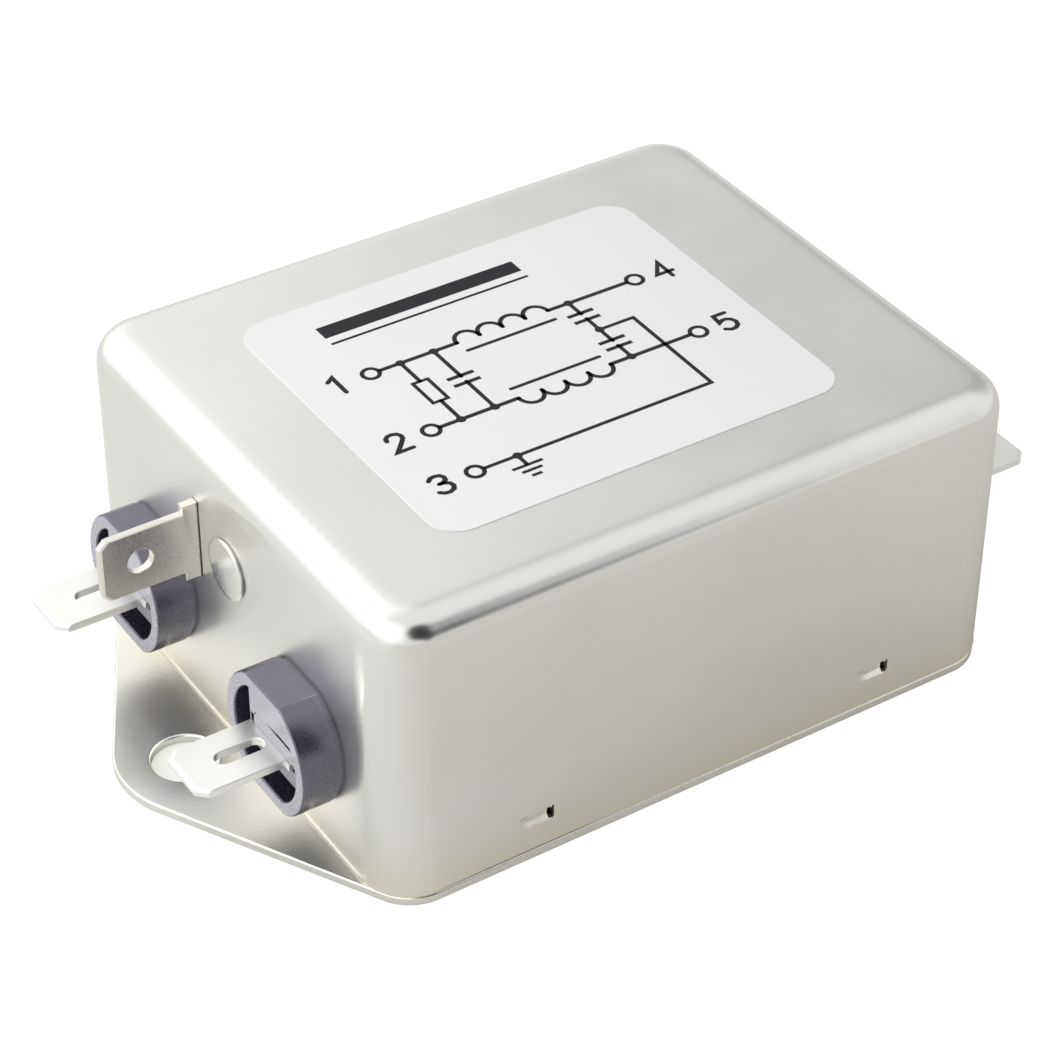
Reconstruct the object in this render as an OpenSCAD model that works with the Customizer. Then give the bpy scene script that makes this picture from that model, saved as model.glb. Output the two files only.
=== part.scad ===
// Chassis-mounted EMI line filter: a deep-drawn plated can closed by a base
// plate with two bolt ears, insulated feed-through bushings with flat
// quick-connect tabs at the LINE end (-X) and at the LOAD end (+X), an earth
// tab riveted to the LINE end wall, and a two-line choke and capacitor filter
// on a small board inside.
// Frame: origin at the middle of the footprint on the mounting surface,
// +X from LINE to LOAD, +Z up through the can. Millimetres.

/* [Can] */
// Length of the can over its two end walls
can_l = 64.8; // [64:0.1:70]
// Width of the can over its two long sides
can_w = 53.2; // [52.6:0.1:58]
// Height of the can's top face above the mounting surface
can_h = 30.2; // [29:0.1:34]
// Sheet thickness of the drawn can
can_t = 0.7; // [0.5:0.1:0.8]
// Radius of the four upright corners, outside
corner_r = 4.7; // [4.2:0.1:6]
// Radius of the rolled edge round the top face, outside
edge_r = 3.0; // [2:0.1:3.6]

/* [Base plate] */
// Sheet thickness of the base plate
plate_t = 0.9; // [0.8:0.1:1.2]
// Distance between the two bolt holes
hole_pitch = 75.2; // [74:0.1:76]
// Diameter of each bolt hole
hole_d = 6.0; // [5:0.1:6.2]
// Distance from the middle to the rounded tip of each ear
ear_reach = 43.7; // [43:0.1:45]
// Radius of the rounded tip of each ear
ear_r = 9.0; // [7:0.5:10]
// Half of the angle between the two straight sides of an ear
ear_half_angle = 61.4; // [58:0.1:64]
// Height of the upturned side lips inside the can
lip_h = 6.5; // [6:0.1:8]

/* [Feed-throughs] */
// Distance between the two feed-throughs of one end
pair_pitch = 25.6; // [25:0.1:27]
// Height of the tabs' mid plane above the mounting surface
tab_z = 11.25; // [11:0.05:12]
// Radius of the round flanks of a bushing
bush_r = 6.55; // [6:0.05:6.8]
// Half of the distance between the two flats of a bushing
bush_flat = 5.9; // [5.6:0.05:6]
// How far a bushing stands out from the end wall
bush_out = 3.85; // [3.4:0.05:4.6]
// Length of the narrower seat next to the end wall
seat_l = 0.3; // [0.2:0.05:0.6]

/* [Tabs] */
// Width of a quick-connect tab
tab_w = 6.3; // [6.2:0.05:6.4]
// Thickness of a quick-connect tab
tab_t = 0.8; // [0.75:0.05:0.85]
// How far a line or load tab stands out from the end wall
tab_out = 11.7; // [11:0.1:12.4]
// Length of the slot through a line or load tab
tab_slot_l = 4.6; // [4:0.1:4.8]
// Width of the slot through a line or load tab
tab_slot_w = 1.6; // [1.2:0.1:1.8]
// How far the earth tab stands out from the end wall
earth_out = 9.5; // [9:0.1:10]
// Offset of the earth tab's near face from the middle
earth_y = 4.6; // [4.4:0.1:5]
// Height of the earth tab's middle above the mounting surface
earth_z = 20.1; // [19.6:0.1:20.6]
// Diameter of the hole through the earth tab
earth_hole_d = 2.4; // [2:0.1:2.6]
// Diameter of the rivet's flat head
rivet_head_d = 5.8; // [5.4:0.1:6]

/* [Label] */
// Length of the label on the top face
label_l = 41.2; // [38:0.1:44]
// Width of the label on the top face
label_w = 35.8; // [32:0.1:38]
// Thickness of the label film
label_t = 0.1; // [0.08:0.01:0.2]

/* [Filter] */
// Outer diameter of the toroid core
core_od = 30; // [28:0.5:30]
// Inner diameter of the toroid core
core_id = 15; // [14.5:0.5:16]
// Height of the toroid core
core_h = 12; // [10:0.5:14]
// Diameter of the choke's enamelled wire
wire_d = 1.2; // [1:0.1:1.2]
// Turns in each of the two windings
turns = 11; // [8:1:11]
// Thickness of the circuit board
board_t = 1.6; // [1.2:0.1:1.8]

/* [Hidden] */

half_l = can_l / 2;
half_w = can_w / 2;
in_x = half_l - can_t;             // inner face of an end wall
in_y = half_w - can_t;             // inner face of a long side
board_z = plate_t + 2.1;           // underside of the circuit board
board_top = board_z + board_t;
pin_z = board_z - 0.7;             // lower end of every soldered lead
lead_r = 0.75;
lead_x = half_l - 5.1;             // where the leads meet the tabs
lug_x = 6.3;                       // reach of a tab inside the end wall
earth_root = 4;                    // half height of the earth tab where it leaves the wall
rivet_y = -0.45;
rivet_z = 20.15;
lance_l = 3.3;                     // locks pressed into the long sides
lance_h = 1.3;
lance_x = 17.9;
lance_z = 3.8;
gap = 0.05;

// ---- outlines -------------------------------------------------------------

// points of an arc, n steps
function arc(cx, cy, r, a0, a1, n) =
    [for (i = [0:n]) let (a = a0 + (a1 - a0) * i / n) [cx + r * cos(a), cy + r * sin(a)]];

// rectangle l x w with round corners
function round_rect(l, w, r, n = 10) = concat(
    arc( l / 2 - r,  w / 2 - r, r,   0,  90, n),
    arc(-l / 2 + r,  w / 2 - r, r,  90, 180, n),
    arc(-l / 2 + r, -w / 2 + r, r, 180, 270, n),
    arc( l / 2 - r, -w / 2 + r, r, 270, 360, n));

// bolt ear pointing to +X: straight sides running into a round tip
function ear() = let (
    b = 90 - ear_half_angle,
    cx = ear_reach - ear_r,
    tip = arc(cx, 0, ear_r, -b, b, 12),
    run = (cx + ear_r * cos(b) - half_l + 1) / tan(b))
    concat([[half_l - 1, -ear_r * sin(b) - run]], tip, [[half_l - 1, ear_r * sin(b) + run]]);

// ---- sheet metal ----------------------------------------------------------

// round post used for the corners of the drawn box
module corner_post(h, rc, re) {
    rotate_extrude($fn = 32)
        polygon(concat([[0, 0], [rc, 0]], arc(rc - re, h - re, re, 0, 90, 8), [[0, h]]));
}

// drawn box with rolled top edge
module drawn_box(l, w, h, rc, re) {
    hull()
        for (sx = [-1, 1], sy = [-1, 1])
            translate([sx * (l / 2 - rc), sy * (w / 2 - rc), 0]) corner_post(h, rc, re);
}

// bar along +X whose section is a circle with two flats
module dd_bar(r, f, x0, x1) {
    translate([x0, 0, 0]) rotate([90, 0, 90])
        linear_extrude(x1 - x0)
            intersection() {
                circle(r, $fn = 72);
                square([4 * r, 2 * f], center = true);
            }
}

// places a feed-through drawn pointing to +X at one end of the can
module at_line(s) { translate([-half_l, s * pair_pitch / 2, tab_z]) rotate([0, 0, 180]) children(); }
module at_load(s) { translate([half_l, s * pair_pitch / 2, tab_z]) children(); }

module can() {
    color("gainsboro")
    difference() {
        union() {
            difference() {
                translate([0, 0, plate_t]) drawn_box(can_l, can_w, can_h - plate_t, corner_r, edge_r);
                translate([0, 0, plate_t - 2])
                    drawn_box(can_l - 2 * can_t, can_w - 2 * can_t, can_h - plate_t - can_t + 2,
                              corner_r - can_t, edge_r - can_t);
            }
            // metal pushed inwards behind each lock
            for (sx = [-1, 1], sy = [-1, 1])
                translate([sx * lance_x - lance_l / 2, sy * (in_y - 0.1) - 0.35, lance_z])
                    cube([lance_l, 0.7, lance_h]);
        }
        for (s = [-1, 1]) {
            at_line(s) dd_bar(bush_r - 0.95, bush_flat - 0.9, -2, 2);
            at_load(s) dd_bar(bush_r - 0.95, bush_flat - 0.9, -2, 2);
        }
        // slot for the earth tab and hole for its rivet
        translate([-half_l - 1, earth_y - gap, earth_z - earth_root - gap]) cube([2, tab_t + 2 * gap, 2 * (earth_root + gap)]);
        translate([-half_l - 1, rivet_y, rivet_z]) rotate([0, 90, 0]) cylinder(r = 1.6, h = 2, $fn = 48);
        // outer face of each lock, with the sheared gap at its +X end
        for (sx = [-1, 1], sy = [-1, 1]) {
            translate([sx * lance_x - lance_l / 2, sy * (half_w + 0.65) - 1, lance_z])
                cube([lance_l, 2, lance_h]);
            translate([sx * lance_x + lance_l / 2 - 0.35, sy * in_y - 2, lance_z - 0.05])
                cube([0.45, 4, lance_h + 0.1]);
        }
    }
}

module base_plate() {
    color("silver")
    union() {
        difference() {
            linear_extrude(plate_t)
                union() {
                    polygon(round_rect(can_l, can_w, corner_r));
                    polygon(ear());
                    mirror([1, 0, 0]) polygon(ear());
                }
            for (s = [-1, 1])
                translate([s * hole_pitch / 2, 0, -1]) cylinder(d = hole_d, h = plate_t + 2, $fn = 96);
        }
        // side lips, with a window for each lock of the can
        for (sy = [-1, 1])
            difference() {
                translate([-27.4, sy * (in_y - 0.4) - 0.4, plate_t / 2]) cube([54.8, 0.8, lip_h]);
                for (sx = [-1, 1])
                    translate([sx * lance_x - lance_l / 2 - 0.3, sy * (in_y - 0.4) - 2, lance_z - 0.3])
                        cube([lance_l + 0.6, 4, lance_h + 0.6]);
            }
    }
}

module rating_label() {
    color("white")
    translate([-0.9, -0.25, can_h])
        linear_extrude(label_t) polygon(round_rect(label_l, label_w, 3));
}

// ---- feed-throughs --------------------------------------------------------

// moulded bushing pointing to +X, its seat's back face at x = 0
module bushing_body() {
    r = bush_r;
    f = bush_flat;
    difference() {
        union() {
            dd_bar(r, f, seat_l, bush_out);
            dd_bar(r - 0.25, f - 0.25, 0, seat_l + 0.1);
            dd_bar(r - 0.95, f - 0.9, -can_t - 0.1, 0.1);
            dd_bar(r - 0.3, f - 0.3, -can_t - 1.1, -can_t);
            dd_bar(r - 2, f - 2.6, -can_t - 1.9, -can_t - 1);
        }
        // front pocket round the block that holds the tab
        difference() {
            dd_bar(r - 1.35, f - 1.4, 1.2, bush_out + 1);
            translate([0, -2.8, -2.1]) cube([bush_out - 0.5, 7.4, 4.3]);
            translate([0, -2.8, 2.1]) cube([bush_out - 0.1, 7.4, 9]);
        }
        // two thin slits above the tab
        for (dz = [2.2, 2.85])
            translate([bush_out - 1.5, -1.6, dz]) cube([3, 6, 0.22]);
        // slot for the tab
        translate([-8, -tab_w / 2, -tab_t / 2]) cube([20, tab_w, tab_t]);
    }
}

// flat quick-connect tab pointing to +X, its root inside the can
module tab_body() {
    w = tab_w / 2;
    s = tab_slot_w / 2;
    x0 = tab_out - 3.2 - tab_slot_l;
    translate([0, 0, -tab_t / 2]) linear_extrude(tab_t)
        difference() {
            polygon([[-lug_x, -w + 1], [-lug_x + 1, -w], [tab_out - 0.9, -w], [tab_out, -w + 0.9],
                     [tab_out, w - 0.9], [tab_out - 0.9, w], [-lug_x + 1, w], [-lug_x, w - 1]]);
            translate([x0 + s, -s]) square([tab_slot_l - 2 * s, 2 * s]);
            translate([x0 + s, 0]) circle(s, $fn = 32);
            translate([x0 + tab_slot_l - s, 0]) circle(s, $fn = 32);
        }
}

module bushing_line_l() { color("dimgray") at_line(1) bushing_body(); }
module bushing_line_n() { color("dimgray") at_line(-1) bushing_body(); }
module bushing_load_l() { color("dimgray") at_load(1) bushing_body(); }
module bushing_load_n() { color("dimgray") at_load(-1) bushing_body(); }

module tab_line_l() { color("ghostwhite") at_line(1) tab_body(); }
module tab_line_n() { color("ghostwhite") at_line(-1) tab_body(); }
module tab_load_l() { color("ghostwhite") at_load(1) tab_body(); }
module tab_load_n() { color("ghostwhite") at_load(-1) tab_body(); }

// ---- earth terminal -------------------------------------------------------

// upright blade through the end wall, with a foot turned along the inside
module earth_tab() {
    tip = -half_l - earth_out;
    h = tab_w / 2;
    color("ghostwhite")
    difference() {
        union() {
            translate([0, earth_y + tab_t, earth_z]) rotate([90, 0, 0])
                linear_extrude(tab_t)
                    polygon([[-in_x + tab_t, -earth_root], [-half_l - 1.5, -earth_root], [-half_l - 1.5, -h],
                             [tip + 0.7, -h], [tip, -h + 0.7], [tip, h - 0.7], [tip + 0.7, h],
                             [-half_l - 1.5, h], [-half_l - 1.5, earth_root], [-in_x + tab_t, earth_root]]);
            translate([-in_x, rivet_y - 3.4, earth_z - earth_root])
                cube([tab_t, earth_y + tab_t - rivet_y + 3.4, 2 * earth_root]);
        }
        translate([tip + 3.8, earth_y + 2, earth_z]) rotate([90, 0, 0])
            cylinder(d = earth_hole_d, h = 4, $fn = 48);
        translate([-in_x - 1, rivet_y, rivet_z]) rotate([0, 90, 0]) cylinder(r = 1.6, h = 3, $fn = 48);
    }
}

// flat-headed rivet through the end wall and the earth tab's foot
module earth_rivet() {
    grip = can_t + tab_t;
    color("silver")
    translate([-half_l, rivet_y, rivet_z]) rotate([0, -90, 0])
        rotate_extrude($fn = 64)
            polygon([[0, -grip - 0.7], [2.2, -grip - 0.7], [2.6, -grip], [1.6, -grip], [1.6, 0],
                     [rivet_head_d / 2, 0], [rivet_head_d / 2, 0.3], [rivet_head_d / 2 - 0.1, 0.4], [0, 0.4]]);
}

// ---- board and tray -------------------------------------------------------

// tray that keeps the board off the base plate
module insulating_tray() {
    color("oldlace")
    union() {
        translate([-29.4, -23.8, plate_t]) cube([58.8, 47.6, 0.6]);
        for (sx = [-1, 1], sy = [-1, 1])
            translate([sx * 27, sy * 20.5, plate_t + 0.3]) cylinder(r = 1.6, h = board_z - plate_t - 0.3, $fn = 32);
    }
}

// choke geometry
wr = wire_d / 2;
core_edge = 0.8;
core_z = board_top + wire_d + 1.1;
turn_q = core_edge + wr + gap;                 // corner radius of a turn
turn_ro = core_od / 2 + wr + gap;
turn_ri = core_id / 2 - wr - gap;
turn_zl = core_z - wr - gap;
turn_zh = core_z + core_h + wr + gap;
turn_a0 = 20;
turn_step = 140 / turns;
start_r = turn_ro;
end_r = turn_ro + 1;
end_a = turn_a0 + turn_step * turns;

// where each winding's two ends go through the board
function winding_pins(rot) = [
    [start_r * cos(turn_a0 + rot), start_r * sin(turn_a0 + rot)],
    [end_r * cos(end_a + rot), end_r * sin(end_a + rot)]];

module circuit_board() {
    color("olivedrab")
    difference() {
        translate([-29.2, -23.2, board_z]) cube([58.4, 46.4, board_t]);
        for (sx = [-1, 1], sy = [-1, 1])
            translate([sx * lead_x, sy * pair_pitch / 2, board_z - 1]) cylinder(r = lead_r + gap, h = board_t + 2, $fn = 32);
        for (p = concat(winding_pins(0), winding_pins(180)))
            translate([p[0], p[1], board_z - 1]) cylinder(r = wr + 2 * gap, h = board_t + 2, $fn = 32);
        for (sx = [-1, 1], sy = [-1, 1])
            translate([sx * xcap_x, sy * xcap_pin, board_z - 1]) cylinder(r = 0.4 + gap, h = board_t + 2, $fn = 24);
        for (sy = [-1, 1], dx = [-2.5, 2.5])
            translate([ycap_x + dx, sy * side_y, board_z - 1]) cylinder(r = 0.3 + gap, h = board_t + 2, $fn = 24);
        for (dx = [-7, 7])
            translate([bleed_x + dx, side_y, board_z - 1]) cylinder(r = 0.35 + gap, h = board_t + 2, $fn = 24);
        translate([-half_l + 3.6, earth_lead_y, board_z - 1]) cylinder(r = 0.3 + gap, h = board_t + 2, $fn = 24);
    }
}

// ---- choke ----------------------------------------------------------------

module choke_core() {
    color("darkslategray")
    translate([0, 0, core_z]) rotate_extrude($fn = 72)
        translate([core_id / 2, 0])
            polygon(let (w = (core_od - core_id) / 2) concat(
                arc(w - core_edge, core_edge, core_edge, -90, 0, 3),
                arc(w - core_edge, core_h - core_edge, core_edge, 0, 90, 3),
                arc(core_edge, core_h - core_edge, core_edge, 90, 180, 3),
                arc(core_edge, core_edge, core_edge, 180, 270, 3)));
}

// one station of the winding's route: radius, height, angle round the core,
// direction of the turn's outward side in the radial plane
function turn_station(i, k) = let (
    c = floor(k / 3),
    a = -90 + 90 * c + 45 * (k % 3),
    cx = (c == 0 || c == 1) ? turn_ro - turn_q : turn_ri + turn_q,
    cz = (c == 1 || c == 2) ? turn_zh - turn_q : turn_zl + turn_q)
    [cx + turn_q * cos(a), cz + turn_q * sin(a), turn_a0 + turn_step * (i + k / 12), a];

// start lead, turns, end lead
winding_route = concat(
    [for (z = [pin_z, turn_zl + turn_q]) [start_r, z, turn_a0, 0]],
    [for (i = [0:turns - 1], k = [0:11]) if (i > 0 || k > 2) turn_station(i, k)],
    [[turn_ro + 0.2, turn_zl, end_a, -90],
     [turn_ro + 0.2 + 0.8 * sin(45), turn_zl - 0.8 + 0.8 * cos(45), end_a, -135],
     [end_r, turn_zl - 0.8, end_a, -180],
     [end_r, pin_z, end_a, -180]]);

// round wire swept along the route
module winding() {
    m = 8;
    n = len(winding_route);
    pts = [for (s = winding_route, j = [0:m - 1])
        let (t = 360 * j / m, u = s[0] + wr * cos(t) * cos(s[3]), v = s[1] + wr * cos(t) * sin(s[3]), w = wr * sin(t))
            [u * cos(s[2]) - w * sin(s[2]), u * sin(s[2]) + w * cos(s[2]), v]];
    faces = concat(
        [[for (j = [0:m - 1]) j]],
        [for (i = [0:n - 2], j = [0:m - 1]) let (k = (j + 1) % m)
            [i * m + j, (i + 1) * m + j, (i + 1) * m + k, i * m + k]],
        [[for (j = [m - 1:-1:0]) (n - 1) * m + j]]);
    polyhedron(points = pts, faces = faces);
}

module choke_winding_l() { color("sienna") winding(); }
module choke_winding_n() { color("sienna") rotate([0, 0, 180]) winding(); }

// flat divider through the core's window, between the two windings
module winding_divider() {
    color("oldlace")
    translate([-core_id / 2 + 0.15, -0.5, board_top]) cube([core_id - 0.3, 1, core_z - board_top + core_h]);
}

// ---- capacitors and resistor ----------------------------------------------

xcap_x = half_l - 10.5;
xcap_pin = 7.5;
ycap_x = 11;
side_y = 20.3;
bleed_x = -9;
earth_lead_y = 3.2;

// boxed film capacitor across the two lines
module x_capacitor(s) {
    translate([s * xcap_x, 0, 0]) union() {
        translate([-3.7, -9, board_top]) cube([7.4, 18, 14]);
        for (sy = [-1, 1])
            translate([0, sy * xcap_pin, pin_z]) cylinder(r = 0.4, h = board_top - pin_z + 1, $fn = 24);
    }
}
module x_capacitor_line() { color("gold") x_capacitor(-1); }
module x_capacitor_load() { color("gold") x_capacitor(1); }

// ceramic disc capacitor from one line to earth
module y_capacitor(s) {
    translate([ycap_x, s * side_y, 0]) union() {
        translate([0, 2, board_top + 5.2]) rotate([90, 0, 0]) cylinder(r = 4.5, h = 4, $fn = 48);
        for (dx = [-2.5, 2.5])
            translate([dx, 0, pin_z]) cylinder(r = 0.3, h = board_top - pin_z + 3, $fn = 24);
    }
}
module y_capacitor_l() { color("royalblue") y_capacitor(1); }
module y_capacitor_n() { color("royalblue") y_capacitor(-1); }

// discharge resistor lying across the line pair
module bleed_resistor() {
    z = board_top + 1.9;
    color("tan")
    translate([bleed_x, side_y, 0]) union() {
        translate([-4.5, 0, z]) rotate([0, 90, 0]) cylinder(r = 1.6, h = 9, $fn = 32);
        translate([-7, 0, z]) rotate([0, 90, 0]) cylinder(r = 0.35, h = 14, $fn = 24);
        for (dx = [-7, 7]) {
            translate([dx, 0, pin_z]) cylinder(r = 0.35, h = z - pin_z, $fn = 24);
            translate([dx, 0, z]) sphere(r = 0.35, $fn = 24);
        }
    }
}

// ---- leads ----------------------------------------------------------------

// upright lead from the board to the underside of a tab
module lead(sx, sy) {
    translate([sx * lead_x, sy * pair_pitch / 2, pin_z]) cylinder(r = lead_r, h = tab_z - tab_t / 2 - pin_z, $fn = 32);
}
module lead_line_l() { color("saddlebrown") lead(-1, 1); }
module lead_line_n() { color("steelblue") lead(-1, -1); }
module lead_load_l() { color("saddlebrown") lead(1, 1); }
module lead_load_n() { color("steelblue") lead(1, -1); }

// lead from the board to the foot of the earth tab
module earth_lead() {
    z = 17.8;
    color("yellowgreen")
    translate([-half_l + 3.6, earth_lead_y, 0]) union() {
        translate([0, 0, pin_z]) cylinder(r = 0.3, h = board_top - pin_z + 1, $fn = 24);
        translate([0, 0, board_top + 0.3]) cylinder(r = lead_r, h = z - board_top - 0.3, $fn = 32);
        translate([0, 0, z]) sphere(r = lead_r, $fn = 32);
        translate([-3.6 + can_t + tab_t, 0, z]) rotate([0, 90, 0]) cylinder(r = lead_r, h = 3.6 - can_t - tab_t, $fn = 32);
    }
}

can();
base_plate();
rating_label();
bushing_line_l();
bushing_line_n();
bushing_load_l();
bushing_load_n();
tab_line_l();
tab_line_n();
tab_load_l();
tab_load_n();
earth_tab();
earth_rivet();
insulating_tray();
circuit_board();
choke_core();
choke_winding_l();
choke_winding_n();
winding_divider();
x_capacitor_line();
x_capacitor_load();
y_capacitor_l();
y_capacitor_n();
bleed_resistor();
lead_line_l();
lead_line_n();
lead_load_l();
lead_load_n();
earth_lead();
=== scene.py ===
import math

import bmesh
import bpy
from mathutils import Matrix, Vector


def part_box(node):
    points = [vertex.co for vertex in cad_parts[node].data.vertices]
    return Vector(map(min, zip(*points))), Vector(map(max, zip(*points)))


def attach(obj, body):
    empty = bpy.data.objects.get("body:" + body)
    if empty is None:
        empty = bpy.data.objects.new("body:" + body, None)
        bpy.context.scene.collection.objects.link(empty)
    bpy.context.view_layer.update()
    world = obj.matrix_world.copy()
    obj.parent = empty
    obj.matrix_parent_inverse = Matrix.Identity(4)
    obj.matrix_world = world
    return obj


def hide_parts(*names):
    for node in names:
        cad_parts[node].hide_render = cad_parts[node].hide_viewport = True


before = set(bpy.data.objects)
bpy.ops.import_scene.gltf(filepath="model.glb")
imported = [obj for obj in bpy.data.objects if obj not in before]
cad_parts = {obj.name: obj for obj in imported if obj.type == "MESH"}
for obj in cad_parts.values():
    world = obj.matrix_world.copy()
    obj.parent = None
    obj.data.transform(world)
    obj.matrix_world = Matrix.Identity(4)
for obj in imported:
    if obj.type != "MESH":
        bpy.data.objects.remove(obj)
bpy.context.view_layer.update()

MM = 0.001
PI = math.pi


def corners(node):
    lo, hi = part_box(node)
    return [v / MM for v in lo], [v / MM for v in hi]


# ---------------------------------------------------------------- camera

cam_data = bpy.data.cameras.new("camera")
cam_data.sensor_width = 36.0
cam_data.lens = 36.0 * 3222.5688103566245 / 1050.0
cam_data.clip_start = 0.01
cam_data.clip_end = 20.0
camera = bpy.data.objects.new("camera", cam_data)
bpy.context.scene.collection.objects.link(camera)
right = Vector((0.83904354, -0.54404328, 0.00477981))
down = Vector((-0.32703557, -0.51134841, -0.79471413))
ahead = Vector((0.43480303, 0.66523659, -0.60696508))
place = Vector((-129.31432596, -194.93898889, 189.88253572)) * MM
camera.matrix_world = Matrix((
    (right.x, -down.x, -ahead.x, place.x),
    (right.y, -down.y, -ahead.y, place.y),
    (right.z, -down.z, -ahead.z, place.z),
    (0, 0, 0, 1)))
bpy.context.scene.camera = camera
bpy.context.scene.view_settings.view_transform = "Standard"
bpy.context.scene.view_settings.look = "None"

# ---------------------------------------------------------------- node helpers


class Tree:
    """Short calls for building a node tree."""

    def __init__(self, tree):
        self.t = tree
        self.n = tree.nodes
        self.n.clear()

    def node(self, kind, **props):
        x = self.n.new(kind)
        for k, v in props.items():
            setattr(x, k, v)
        return x

    def link(self, a, b):
        self.t.links.new(a, b)

    def put(self, socket, value):
        if isinstance(value, bpy.types.NodeSocket):
            self.t.links.new(value, socket)
        else:
            socket.default_value = value

    def math(self, op, a, b=0.5, clamp=False):
        x = self.node("ShaderNodeMath", operation=op, use_clamp=clamp)
        self.put(x.inputs[0], a)
        self.put(x.inputs[1], b)
        return x.outputs[0]

    def ramp(self, value, a, b, lo=0.0, hi=1.0, smooth=True):
        x = self.node("ShaderNodeMapRange", interpolation_type="SMOOTHSTEP" if smooth else "LINEAR")
        self.put(x.inputs["Value"], value)
        self.put(x.inputs["From Min"], a)
        self.put(x.inputs["From Max"], b)
        self.put(x.inputs["To Min"], lo)
        self.put(x.inputs["To Max"], hi)
        return x.outputs["Result"]

    def mix(self, factor, a, b, blend="MIX"):
        x = self.node("ShaderNodeMix", data_type="RGBA", blend_type=blend)
        self.put(x.inputs[0], factor)
        self.put(x.inputs[6], a)
        self.put(x.inputs[7], b)
        return x.outputs[2]

    def noise(self, vector, scale, detail=2.0, rough=0.5):
        x = self.node("ShaderNodeTexNoise")
        self.link(vector, x.inputs["Vector"])
        x.inputs["Scale"].default_value = scale
        x.inputs["Detail"].default_value = detail
        x.inputs["Roughness"].default_value = rough
        return x.outputs["Fac"]

    def stretch(self, vector, s):
        x = self.node("ShaderNodeVectorMath", operation="MULTIPLY")
        self.link(vector, x.inputs[0])
        x.inputs[1].default_value = s
        return x.outputs[0]


def rgba(c):
    return (c[0], c[1], c[2], 1.0)


def start(name):
    m = bpy.data.materials.new(name)
    m.use_nodes = True
    t = Tree(m.node_tree)
    out = t.node("ShaderNodeOutputMaterial")
    p = t.node("ShaderNodeBsdfPrincipled")
    t.link(p.outputs[0], out.inputs[0])
    co = t.node("ShaderNodeTexCoord").outputs["Object"]
    return m, t, p, t.stretch(co, (1000.0, 1000.0, 1000.0))


def bump(t, p, height, strength, distance):
    b = t.node("ShaderNodeBump")
    b.inputs["Strength"].default_value = strength
    b.inputs["Distance"].default_value = distance
    t.link(height, b.inputs["Height"])
    t.link(b.outputs[0], p.inputs["Normal"])


def flatness(t, axis=None):
    """How squarely the surface faces one of the object's axes, 1 on flat walls."""
    x = t.node("ShaderNodeSeparateXYZ")
    t.link(t.node("ShaderNodeTexCoord").outputs["Normal"], x.inputs[0])
    a = [t.math("ABSOLUTE", o) for o in x.outputs[:3]]
    if axis is not None:
        return a[axis]
    return t.math("MAXIMUM", t.math("MAXIMUM", a[0], a[1]), a[2])


def plated(name, light, dark, rough, grain=1.0, waves=1.0, painted_base_shade=None, metallic=1.0, rolled=None, speck=0.12):
    """Bright satin plating: faint cloudy tint, uneven sheen, fine grain and slow waviness.
    rolled is the lower roughness of the stretched metal round bends. The optional (low, high, colour) height band is
    painted shade: a painted reflection of the floor's shade that tints the metal warmer and slightly darker from high
    down to low."""
    m, t, p, co = start(name)
    cloud = t.noise(co, 0.045, 3.0, 0.55)
    tint = t.mix(t.ramp(cloud, 0.36, 0.66), rgba(light), rgba(dark))
    # painted shade: below the band's high edge the tint fades into the given warm, darker colour, a painted reflection
    # of the floor's shade near the foot
    if painted_base_shade is not None:
        z = t.node("ShaderNodeSeparateXYZ")
        t.link(co, z.inputs[0])
        tint = t.mix(t.ramp(z.outputs[2], painted_base_shade[1], painted_base_shade[0]), tint, rgba(painted_base_shade[2]))
    fine = t.noise(co, 3.1, 4.0, 0.65)
    tint = t.mix(t.ramp(fine, 0.25, 0.8, 0.0, speck), tint, rgba([c * 0.9 for c in dark]))
    t.link(tint, p.inputs["Base Color"])
    p.inputs["Metallic"].default_value = metallic
    patch = t.noise(co, 0.12, 4.0, 0.6)
    r = t.ramp(patch, 0.3, 0.75, rough - 0.03, rough + 0.04)
    r = t.math("ADD", r, t.ramp(fine, 0.3, 0.8, -0.01, 0.02))
    if rolled is not None:
        r = t.math("SUBTRACT", r, t.ramp(flatness(t), 0.999, 0.975, 0.0, rough - rolled))
    t.link(r, p.inputs["Roughness"])
    grains = t.noise(co, 2.6, 3.0, 0.6)
    swell = t.noise(co, 0.06, 1.0, 0.4)
    h = t.math("ADD", t.math("MULTIPLY", grains, 0.0035 * grain), t.math("MULTIPLY", swell, 0.10 * waves))
    bump(t, p, h, 1.0, MM)
    return m


def moulded(name, light, dark, rough, grain=1.0, ior=1.52, face=None):
    """Moulded thermoplastic: slight colour drift, fine spark texture, uneven gloss.
    face is (distance from the middle along X, colour) of the front faces, which carry painted light that makes them
    paler than the rest."""
    m, t, p, co = start(name)
    cloud = t.noise(co, 0.35, 3.0, 0.6)
    tint = t.mix(t.ramp(cloud, 0.35, 0.68), rgba(light), rgba(dark))
    # painted light: faces looking along X at the bushing's outer end are coloured paler, standing in for the light they
    # catch
    if face is not None:
        x = t.node("ShaderNodeSeparateXYZ")
        t.link(co, x.inputs[0])
        reach = t.ramp(t.math("ABSOLUTE", x.outputs[0]), face[0], face[0] + 0.25)
        lit_face_mask = t.ramp(flatness(t, 0), 0.80, 0.97)
        tint = t.mix(t.math("MULTIPLY", reach, lit_face_mask), tint, rgba(face[1]))
        p.inputs["Specular Tint"].default_value = (0.86, 0.84, 1.0, 1.0)
    t.link(tint, p.inputs["Base Color"])
    fine = t.noise(co, 5.5, 3.0, 0.6)
    t.link(t.ramp(fine, 0.25, 0.75, rough - 0.06, rough + 0.08), p.inputs["Roughness"])
    p.inputs["IOR"].default_value = ior
    h = t.math("ADD", t.math("MULTIPLY", fine, 0.010 * grain), t.math("MULTIPLY", cloud, 0.006))
    bump(t, p, h, 1.0, MM)
    return m


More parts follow.
